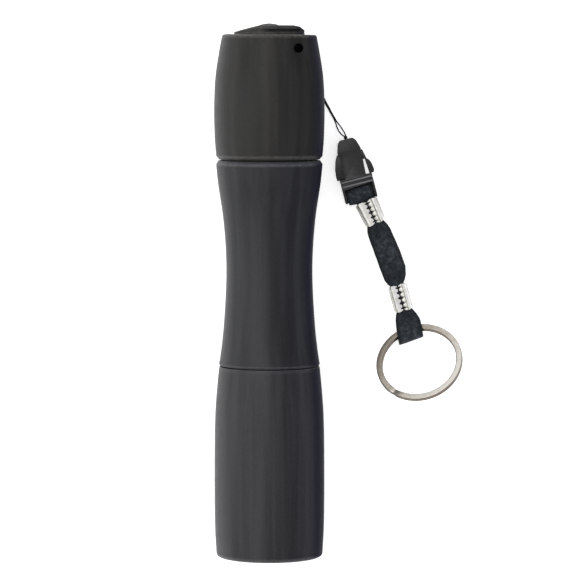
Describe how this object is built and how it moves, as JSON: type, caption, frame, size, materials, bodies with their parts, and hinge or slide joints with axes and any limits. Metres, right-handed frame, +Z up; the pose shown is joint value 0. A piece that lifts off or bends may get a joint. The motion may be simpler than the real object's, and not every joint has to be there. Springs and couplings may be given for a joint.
{
  "type": "keychain flashlight",
  "caption": "Waisted pocket flashlight with screw tail cap and push button, and a wrist lanyard of thin cord, side-release buckle, crimped strap and split ring.",
  "frame": {"origin": "on the surface the flashlight lies on, under the middle of its body, measured without the lanyard", "axes": "+Y along the flashlight's axis from lens to tail button, +Z up, +X towards the side the lanyard lies on"},
  "size_m": [0.0723, 0.1548, 0.032],
  "materials": {
    "shell": "satin moulded charcoal",
    "inner_plastic": "moulded black",
    "rubber": "matt",
    "spring_steel": "nickel plated wire",
    "brass": "plain",
    "cell": null,
    "heatsink": "machined",
    "board": "solder mask",
    "led": "phosphor under a clear dome",
    "lens": "clear",
    "mirror": "metallised",
    "buckle": "moulded black",
    "webbing": "black woven polyester",
    "cord": "black braided nylon",
    "crimp": "nickel plated",
    "ring": "nickel plated"
  },
  "bodies": {
    "root": {"grip_tube": "shell", "cap_o_ring": "rubber", "head_shell": "shell", "bezel_ring": "inner_plastic", "lens_o_ring": "rubber", "lens": "lens", "reflector": "mirror", "led_emitter": "led", "led_board": "heatsink", "led_holder": "heatsink", "driver_board": "board", "front_contact_spring": "spring_steel"},
    "battery_carrier": {"carrier_frame": "inner_plastic", "carrier_front_contact": "brass", "carrier_rear_contact": "brass", "battery_cell_1": "cell", "battery_cell_2": "cell", "battery_cell_3": "cell", "cell_spring_1": "spring_steel", "cell_spring_2": "spring_steel", "cell_spring_3": "spring_steel"},
    "tail_cap": {"tail_cap": "shell", "switch_housing": "inner_plastic", "switch_retainer": "brass", "tail_contact_post": "brass", "switch_return_spring": "spring_steel", "switch_boot": "rubber", "lanyard_cord": "cord"},
    "switch_button": {"switch_plunger": "inner_plastic"},
    "buckle": {"cord_knot": "cord", "buckle_socket": "buckle", "buckle_plug": "buckle"},
    "prong_left": {"buckle_prong_left": "buckle"},
    "prong_right": {"buckle_prong_right": "buckle"},
    "strap": {"strap_webbing": "webbing", "crimp_upper": "crimp", "crimp_lower": "crimp"},
    "ring": {"key_ring": "ring"}
  },
  "joints": [
    {"name": "tail_cap_advance", "type": "slide", "parent": "root", "child": "battery_carrier", "axis": [0, 1, 0], "range_m": [0, 0.0048], "deforming": ["front_contact_spring"]},
    {"name": "tail_cap_turn", "type": "hinge", "parent": "battery_carrier", "child": "tail_cap", "pos_m": [0, 0.06, 0.01599], "axis": [0, 1, 0], "range_deg": [0, 720]},
    {"name": "button_press", "type": "slide", "parent": "tail_cap", "child": "switch_button", "axis": [0, -1, 0], "range_m": [0, 0.0012], "stiffness_N_per_m": 1500, "deforming": ["switch_return_spring", "switch_boot"]},
    {"name": "cord_swing", "type": "hinge", "parent": "tail_cap", "child": "buckle", "pos_m": [0.0084, 0.0702, 0.0044], "axis": [0, 0, 1], "range_deg": [-6, 90], "deforming": ["lanyard_cord"]},
    {"name": "prong_left_squeeze", "type": "hinge", "parent": "buckle", "child": "prong_left", "pos_m": [0.02301, 0.03074, 0.0021], "axis": [0, 0, -1], "range_deg": [0, 7], "stiffness_Nm_per_rad": 0.15},
    {"name": "prong_right_squeeze", "type": "hinge", "parent": "buckle", "child": "prong_right", "pos_m": [0.02814, 0.03207, 0.0021], "axis": [0, 0, 1], "range_deg": [0, 7], "stiffness_Nm_per_rad": 0.15},
    {"name": "strap_pivot", "type": "hinge", "parent": "buckle", "child": "strap", "pos_m": [0.02643, 0.02811, 0.0021], "axis": [-0.9681, -0.2504, 0], "range_deg": [0, 90]},
    {"name": "ring_swing", "type": "hinge", "parent": "strap", "child": "ring", "pos_m": [0.0408, -0.01284, 0.00235], "axis": [-0.9421, -0.3355, 0], "range_deg": [-40, 60]}
  ],
  "couplings": [
    {"joint": "tail_cap_turn", "follows": "tail_cap_advance", "rad_per_m": 2618}
  ]
}
